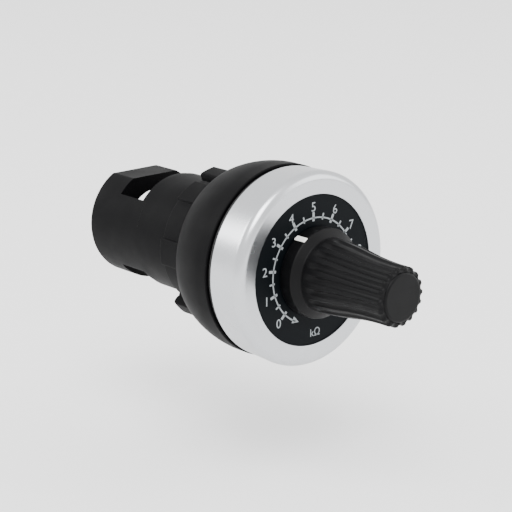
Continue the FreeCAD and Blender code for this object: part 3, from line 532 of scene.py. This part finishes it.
@dataclass
class Bezel:
    """Plated ring round the dial, with a rounded shoulder, and the gasket behind it."""

    bore: float = 16.1
    back_radius: float = 17.5
    front_radius: float = 17.8
    depth: float = 7.7
    shoulder: float = 1.68
    opening: float = 13.75
    gasket_bore: float = 11.2
    gasket_radius: float = 17.2
    gasket_thick: float = 0.8

    def build(self) -> None:
        """Build the ring and the gasket."""
        ring = lathe([
            (self.bore, 0.0, 0.1),
            (self.back_radius, 0.0, 0.18),
            (self.front_radius, -self.depth, self.shoulder),
            (self.opening, -self.depth, 0.12),
            (self.opening, FRONT_FACE, 0.0),
            (self.bore, FRONT_FACE, 0.0),
        ], turns=288, steps=14)
        place("bezel_surface", ring, PLATED_RING, Body.HOUSING, "plated_ring", ["bezel_ring"])
        gasket = lathe([
            (self.gasket_bore, 0.0, 0.05),
            (self.gasket_radius, 0.0, 0.15),
            (self.gasket_radius, self.gasket_thick, 0.15),
            (self.gasket_bore, self.gasket_thick, 0.05),
        ])
        place("gasket_surface", gasket, RUBBER, Body.HOUSING, "rubber", ["panel_gasket"])


@dataclass
class Scale:
    """Dial plate and the scale printed on it, from 0 to 10 over 270 degrees."""

    hole: float = 3.6
    edge: float = 16.0
    thick: float = 0.8
    print_height: float = 0.025
    arc_radius: float = 9.55
    arc_width: float = 0.26
    run_out: float = 154.0
    first: float = -135.0
    step: float = 27.0
    divisions: int = 10
    major: tuple[float, float, float] = (8.95, 10.6, 0.50)
    minor: tuple[float, float, float] = (9.15, 10.35, 0.32)
    number_radius: float = 11.55
    number_height: float = 1.65
    unit_turn: float = 177.0
    unit_height: float = 1.5

    def tick(self, size: tuple[float, float, float], turn: float) -> Shell:
        """One radial stroke of the scale."""
        inner, outer, width = size
        half = width / 2
        stroke = plate([(-half, inner, 0.08), (half, inner, 0.08), (half, outer, 0.08), (-half, outer, 0.08)],
                       FRONT_FACE - self.print_height, FRONT_FACE)
        return stroke.turned(turn)

    def arc(self) -> Shell:
        """The line of the scale, which runs out past both ends of it."""
        low, high = self.arc_radius - self.arc_width / 2, self.arc_radius + self.arc_width / 2
        back, front = FRONT_FACE, FRONT_FACE - self.print_height
        return swept([(low, front, 0.0), (high, front, 0.0), (high, back, 0.0), (low, back, 0.0)],
                     0.0, 2 * self.run_out, steps=160)

    def wedge(self, side: int) -> Shell:
        """The filled wedge at one end of the line."""
        corners = [(-0.85, self.arc_radius - 0.1, 0.05), (0.75, self.arc_radius - 0.75, 0.05),
                   (0.75, self.arc_radius + 0.55, 0.05)]
        shape = plate([(-side * x, z, rounding) for x, z, rounding in corners],
                      FRONT_FACE - self.print_height, FRONT_FACE)
        return shape.turned(side * self.run_out)

    def lettered(self, text: str, height: float, turn: float) -> Shell:
        """Writing at a turn round the scale, kept upright."""
        angle = math.radians(turn)
        writing = lettering(text, height, FRONT_FACE - self.print_height, FRONT_FACE)
        return writing.shifted(self.number_radius * math.sin(angle), 0.0, self.number_radius * math.cos(angle))

    def build(self) -> None:
        """Build the plate, the line with its strokes, and the numbers."""
        back = FRONT_FACE + self.thick
        disc = lathe([(self.hole, FRONT_FACE, 0.05), (self.edge, FRONT_FACE, 0.08), (self.edge, back, 0.05),
                      (self.hole, back, 0.05)])
        place("dial_surface", disc, DIAL_PRINT, Body.HOUSING, "dial_print", ["dial_plate"])
        lines = self.arc()
        for half_step in range(2 * self.divisions + 1):
            size = self.minor if half_step % 2 else self.major
            lines = lines.joined(self.tick(size, self.first + half_step * self.step / 2))
        for side in (-1, 1):
            lines = lines.joined(self.wedge(side))
        place("scale_lines", lines, WHITE_PRINT, Body.HOUSING, "white_inlay", sharp=20)
        numbers = self.lettered("kΩ", self.unit_height, self.unit_turn)
        for value in range(self.divisions + 1):
            numbers = numbers.joined(self.lettered(str(value), self.number_height, self.first + value * self.step))
        place("scale_numbers", numbers, WHITE_PRINT, Body.HOUSING, "white_inlay", sharp=20)


@dataclass
class Knob:
    """Fluted knob with a wide skirt, its cap and the white mark on the skirt's side."""

    flutes: int = 18
    flute_radius: float = 0.75
    flute_depth: float = 0.42
    flute_start: float = -12.25
    flute_full: float = -14.65
    stem_base: tuple[float, float] = (6.75, -11.45)
    waist: tuple[float, float] = (6.05, -19.05)
    grip: tuple[float, float] = (5.35, -26.55)
    end: tuple[float, float] = (5.35, -29.2)
    skirt_front: tuple[float, float] = (8.2, -10.35)
    skirt_back: tuple[float, float] = (8.1, -7.75)
    hollow: tuple[float, float] = (6.9, -9.75)
    belly_radius: float = 66.0
    waist_radius: float = 53.0
    flute_soft: float = 0.05
    bore: float = 4.0
    cap_bore: float = 4.45
    cap_seat: float = -28.2
    cap_radius: float = 4.4
    cap_front: float = -29.5
    pointer_turn: float = -33.0
    pointer_radius: tuple[float, float] = (7.6, 8.26)
    pointer_spread: float = 7.0

    def fluted(self, radius: np.ndarray, along: np.ndarray, turn: np.ndarray) -> np.ndarray:
        """Radius with the flutes cut in.

        A flute is a round-bottomed groove: at a distance d from its middle line it is as deep as its full depth less
        the rise of a circle of its radius. A soft maximum with zero rounds the edge where the groove meets the stem.
        """
        pitch = 2 * math.pi / self.flutes
        off = (turn + pitch / 2) % pitch - pitch / 2
        across = np.clip(np.abs(off) * radius, 0, self.flute_radius)
        depth = self.flute_depth - self.flute_radius + np.sqrt(self.flute_radius ** 2 - across ** 2)
        soft = self.flute_soft
        depth = (depth + np.sqrt(depth ** 2 + soft ** 2)) / 2 - soft / 4
        reach = np.clip((self.flute_start - along) / (self.flute_start - self.flute_full), 0, 1)
        outside = np.clip((radius - self.cap_bore) / 0.3, 0, 1)
        return radius - depth * reach * reach * (3 - 2 * reach) * outside

    def build(self) -> None:
        """Build the knob, the cap and the mark."""
        corners = [
            (self.bore, self.hollow[1], 0.0),
            (*self.hollow, 0.2),
            (self.hollow[0], self.skirt_back[1], 0.12),
            (*self.skirt_back, 0.12),
            (*self.skirt_front, 0.38),
            (*self.stem_base, 0.30),
            *arc_between(self.stem_base, self.waist, self.belly_radius, False, 16),
            (*self.waist, 0.0),
            *arc_between(self.waist, self.grip, self.waist_radius, True, 16),
            (*self.grip, 0.0),
            (*self.end, 0.7),
            (self.cap_bore, self.end[1], 0.06),
            (self.cap_bore, self.cap_seat, 0.0),
            (self.bore, self.cap_seat, 0.0),
        ]
        knob = lathe(corners, turns=540, shape=self.fluted)
        place("knob_surface", knob, BLACK_KNOB, Body.KNOB, "black_knob", ["knob"])
        cap = lathe([
            (0.0, self.cap_front, 0.0),
            (self.cap_radius, self.cap_front, 0.5),
            (self.cap_radius, self.cap_seat, 0.05),
            (0.0, self.cap_seat, 0.0),
        ], closed=False, turns=180, steps=10)
        place("cap_surface", cap, BLACK_KNOB, Body.KNOB, "black_knob", ["knob_cap"])
        low, high = self.pointer_radius
        front, back = self.skirt_front[1] + 0.02, self.skirt_back[1] - 0.02
        mark = swept([(low, back, 0.0), (high, back, 0.05), (high, front, 0.18), (low, front, 0.0)],
                     self.pointer_turn, self.pointer_spread, end_round=0.05)
        place("pointer_mark", mark, WHITE_INLAY, Body.KNOB, "white_inlay", ["pointer_inlay"])


@dataclass
class Collar:
    """Cupped collar behind the panel, with its three lugs and its key."""

    bore: float = 11.2
    sleeve: float = 12.8
    cavity: float = 15.1
    front: float = 1.0
    back: float = 11.5
    web: float = 2.5
    front_radius: float = 17.7
    back_radius: float = 15.8
    straight: float = 2.5
    curve: float = 20.0
    lug_radius: tuple[float, float] = (13.3, 15.1)
    lug_length: float = 6.1
    lug_spread: float = 12.0
    lug_turns: tuple[float, ...] = (-14.0, 106.0, 226.0)
    key_width: float = 2.0
    key_reach: float = 10.55

    def build(self) -> None:
        """Build the cup, the lugs and the key as one moulding."""
        floor = self.back - self.web
        bend, end = (self.front_radius, self.front + self.straight), (self.back_radius, self.back)
        shell = lathe([
            (self.bore, self.front, 0.1),
            (self.sleeve, self.front, 0.1),
            (self.sleeve, floor, 0.2),
            (self.cavity, floor, 0.2),
            (self.cavity, self.front, 0.15),
            (self.front_radius, self.front, 0.25),
            (*bend, 0.0),
            *arc_between(bend, end, self.curve, True, 20),
            (*end, 0.22),
            (self.bore, self.back, 0.15),
        ], turns=288)
        inner, outer = self.lug_radius
        base, tip = self.back - 0.7, self.back + self.lug_length
        for turn in self.lug_turns:
            shell = shell.joined(swept([(inner, base, 0.0), (outer, base, 0.0), (outer, tip, 0.9), (inner, tip, 0.25)],
                                       turn, self.lug_spread, end_round=0.2, steps=8))
        half = self.key_width / 2
        key = plate([(-half, -self.bore - 0.2, 0.0), (half, -self.bore - 0.2, 0.0), (half, -self.key_reach, 0.1),
                     (-half, -self.key_reach, 0.1)], self.front + 0.1, self.back - 0.1)
        place("collar_surface", shell.joined(key), BLACK_MOULDING, Body.COLLAR, "black_moulding", ["thrust_collar"])


@dataclass
class RingNut:
    """Nut with six raised grip blocks."""

    bore: float = 11.2
    radius: float = 12.0
    rise: float = 0.6
    front: float = 11.8
    back: float = 20.2
    blocks: int = 6
    block_spread: float = 24.0
    edge: float = 0.35

    def raised(self, radius: np.ndarray, along: np.ndarray, turn: np.ndarray) -> np.ndarray:
        """Radius with the blocks: a level top that falls to the nut over the width of an edge, as a smooth step."""
        pitch = 2 * math.pi / self.blocks
        off = np.abs(turn % pitch - pitch / 2) * self.radius
        half = math.radians(self.block_spread) / 2 * self.radius
        step = np.clip((half - off) / self.edge + 0.5, 0, 1)
        outside = np.clip((radius - self.bore - 0.3) / 0.3, 0, 1)
        return radius + self.rise * step * step * (3 - 2 * step) * outside

    def build(self) -> None:
        """Build the nut."""
        nut = lathe([
            (self.bore, self.front, 0.12),
            (self.radius, self.front, 0.2),
            (self.radius, self.back, 0.2),
            (self.bore, self.back, 0.12),
        ], turns=720, shape=self.raised)
        place("nut_surface", nut, BLACK_MOULDING, Body.NUT, "black_moulding", ["ring_nut"])


@dataclass
class Barrel:
    """Rear barrel: a tube with two wire windows, a flat on top and a thick end with a hole."""

    radius: float = 10.9
    bore: float = 9.4
    spigot: tuple[float, float] = (9.2, 8.1)
    spigot_start: float = 16.3
    start: float = 20.3
    end: float = 44.25
    shoulder: tuple[float, float] = (11.1, 29.15)
    hole: float = 6.7
    window: tuple[float, float] = (30.4, 37.3)
    window_half: float = 50.0
    flat_height: float = 9.55
    turns: int = 288

    def flattened(self, radius: np.ndarray, along: np.ndarray, turn: np.ndarray) -> np.ndarray:
        """Radius of the outside behind the window, held under the flat: flat height over the cosine of the turn."""
        height = self.flat_height + (radius - self.radius) * 0.9
        limit = np.where(np.cos(turn) > 0.5, height / np.maximum(np.cos(turn), 0.5), 99.0)
        behind = (along >= self.window[1] - 1e-6) & (radius > self.bore + 0.05)
        return np.where(behind, np.minimum(radius, limit), radius)

    def build(self) -> None:
        """Build the tube as a grid round the axis, leave out the cells in the windows and close their sides.

        The outside and the bore have the same stations along the axis, so each window's sides join the two.
        """
        stations = [self.start + 1.5]
        low, high = self.window
        outline = [
            (self.spigot[1], self.spigot_start), (self.spigot[0], self.spigot_start), (self.spigot[0], self.start),
            (self.shoulder[0] - 0.15, self.start), (self.shoulder[0], self.start + 0.15), self.shoulder,
            (self.radius, self.shoulder[1] + 0.25),
            (self.radius, low), (self.radius, high), (self.radius, 40.0), (self.radius, self.end - 0.92),
        ]
        curve = np.linspace(0, math.pi / 2, 8)
        outline += [(self.radius - 0.8 + 0.8 * math.cos(a), self.end - 0.8 + 0.8 * math.sin(a)) for a in curve]
        outline += [
            (self.radius - 0.95, self.end), (self.hole + 0.2, self.end), (self.hole, self.end - 0.2),
            (self.hole, high), (self.bore, high), (self.bore, low),
            (self.bore, stations[0]), (self.spigot[1], stations[0]),
        ]
        points = np.array(outline)
        radius, along = points[:, :1], points[:, 1:]
        turn = np.radians(np.arange(self.turns) * 360 / self.turns)[None, :]
        final = self.flattened(radius, along, turn)
        quads = grid_faces(len(points), self.turns, True, True)
        row, column = quads[:, 0] // self.turns, quads[:, 0] % self.turns
        middle = (column + 0.5) * 360 / self.turns
        near = np.abs((middle + 90) % 180 - 90) < self.window_half
        cut_rows = (7, len(points) - 4)
        gone = near & np.isin(row, cut_rows)
        faces = [tuple(quad) for quad in quads[~gone].tolist()]
        shell = tidy_sides(around(final, along, turn), faces, quads[gone], cut_rows, self.turns, len(points))
        place("barrel_surface", shell, BLACK_MOULDING, Body.HOUSING, "black_moulding", ["rear_barrel"], sharp=30)


def tidy_sides(points: np.ndarray, faces: list[tuple[int, ...]], gone: np.ndarray, cut_rows: tuple[int, int],
               turns: int, rows: int) -> Shell:
    """Close the sides of the windows: each open edge of the outside joins the same edge of the bore.

    Args:
        points: All points of the grid.
        faces: The faces that are left.
        gone: The cells that were left out.
        cut_rows: The row of cells of the outside, and that of the bore.
        turns: Points in a row.
        rows: Number of rows.

    Returns:
        The closed shell.
    """
    outer_row, inner_row = cut_rows
    partner = {outer_row: (inner_row + 1) % rows, outer_row + 1: inner_row}
    outer = [quad for quad in gone.tolist() if quad[0] // turns == outer_row]
    edges = {}
    for quad in outer:
        for place_in, first in enumerate(quad):
            second = quad[(place_in + 1) % 4]
            if (second, first) in edges:
                del edges[(second, first)]
            else:
                edges[(first, second)] = True
    for first, second in edges:
        other = [partner[index // turns] * turns + index % turns for index in (second, first)]
        faces.append((first, second, *other))
    return tidy(Shell(points, faces))


@dataclass
class Inside:
    """The pieces inside and behind, which keep the surfaces of the design and get their real finishes."""

    finishes: dict[str, Finish] = field(default_factory=lambda: dict(SLOT_FINISHES))

    def build(self) -> None:
        """Dress every node of the design by its slot."""
        slots = {part["node"]: part["material_slot"] for part in frame["record"]["subparts"]}
        for name, item in frame["nodes"].items():
            material = self.finishes[slots[name]].material()
            if not item.material_slots:
                item.data.materials.append(material)
            for slot in item.material_slots:
                slot.material = material
        LOG.info("dressed %d nodes of the design", len(frame["nodes"]))


@dataclass
class Studio:
    """Pale floor, soft light and the camera."""

    azimuth: float = -41.5
    elevation: float = 15.97
    distance: float = 305.61
    across: float = -5.13
    upward: float = 0.99
    roll: float = -0.05
    focal_length: float = 119.53125
    sensor: float = 36.0
    floor_drop: float = 40.0
    floor_reach: float = 4000.0
    floor_points: int = 9
    surroundings: float = 1.9

    def camera(self) -> None:
        """Place the camera at its distance and angle, looking along the line to the row's origin and shifted off it."""
        azimuth, elevation = math.radians(self.azimuth), math.radians(self.elevation)
        back = Vector((math.sin(azimuth) * math.cos(elevation), -math.cos(azimuth) * math.cos(elevation),
                       math.sin(elevation)))
        right = Vector((math.cos(azimuth), math.sin(azimuth), 0.0))
        up = back.cross(right)
        place_at = (back * self.distance + right * self.across + up * self.upward) * MM
        data = bpy.data.cameras.new("camera")
        data.sensor_width = self.sensor
        data.lens = self.focal_length
        data.clip_start = 0.01
        item = bpy.data.objects.new("camera", data)
        bpy.context.scene.collection.objects.link(item)
        turn = Matrix((right, up, back)).transposed().to_4x4()
        item.matrix_world = Matrix.Translation(place_at) @ turn @ Matrix.Rotation(math.radians(self.roll), 4, "Z")
        bpy.context.scene.camera = item

    def floor(self) -> None:
        """A plain pale floor well under the object, a sheet whose height is level everywhere."""
        reach, drop = self.floor_reach, -self.floor_drop
        steps = np.linspace(-reach, reach, self.floor_points)
        x, y = np.meshgrid(steps, steps)
        points = np.column_stack([x.ravel(), y.ravel(), np.full(x.size, drop)])
        mesh = bpy.data.meshes.new("floor")
        mesh.from_pydata((points * MM).tolist(), [],
                         grid_faces(self.floor_points, self.floor_points, False, False).tolist())
        mesh.materials.append(Finish("white paper sweep", "#f4f4f4", 0.8, grain_mm=2.0, depth_mm=0.0,
                                     patch_mm=200.0, patch_light=0.005, patch_rough=0.02).material())
        item = bpy.data.objects.new("floor", mesh)
        bpy.context.scene.collection.objects.link(item)

    def lamp(self, name: str, place_at: tuple[float, float, float], size: float, power: float) -> None:
        """A soft square light that points at the object.

        Args:
            name: Name of the light.
            place_at: Where it stands, in metres.
            size: Length of its side in metres.
            power: Power in watts.
        """
        data = bpy.data.lights.new(name, "AREA")
        data.shape = "SQUARE"
        data.size = size
        data.energy = power
        item = bpy.data.objects.new(name, data)
        bpy.context.scene.collection.objects.link(item)
        item.location = place_at
        item.rotation_euler = Vector(place_at).to_track_quat("Z", "Y").to_euler()

    def world(self) -> None:
        """Even white surroundings."""
        world = bpy.data.worlds.new("surroundings")
        world.use_nodes = True
        tree = world.node_tree
        tree.nodes.clear()
        light = add_node(tree, "ShaderNodeBackground",
                         {"Color": hex_to_linear("#ffffff"), "Strength": self.surroundings})
        add_node(tree, "ShaderNodeOutputWorld", {"Surface": light.outputs[0]})
        bpy.context.scene.world = world

    def build(self) -> None:
        """Build the whole studio."""
        self.world()
        self.floor()
        self.lamp("key light", (-0.5, -0.5, 1.0), 0.7, 16.0)
        self.lamp("fill light", (0.8, -0.7, 0.5), 0.8, 5.0)
        self.lamp("rim light", (-0.7, 0.8, 0.55), 0.4, 5.0)
        self.camera()


def main() -> None:
    """Build every piece in order."""
    logging.basicConfig(level=logging.INFO, format="%(message)s")
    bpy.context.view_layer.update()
    for assembly in (Inside(), Bezel(), Scale(), Knob(), Collar(), RingNut(), Barrel(), Studio()):
        LOG.info("building %s", type(assembly).__name__)
        assembly.build()


if __name__ == "__main__":
    main()
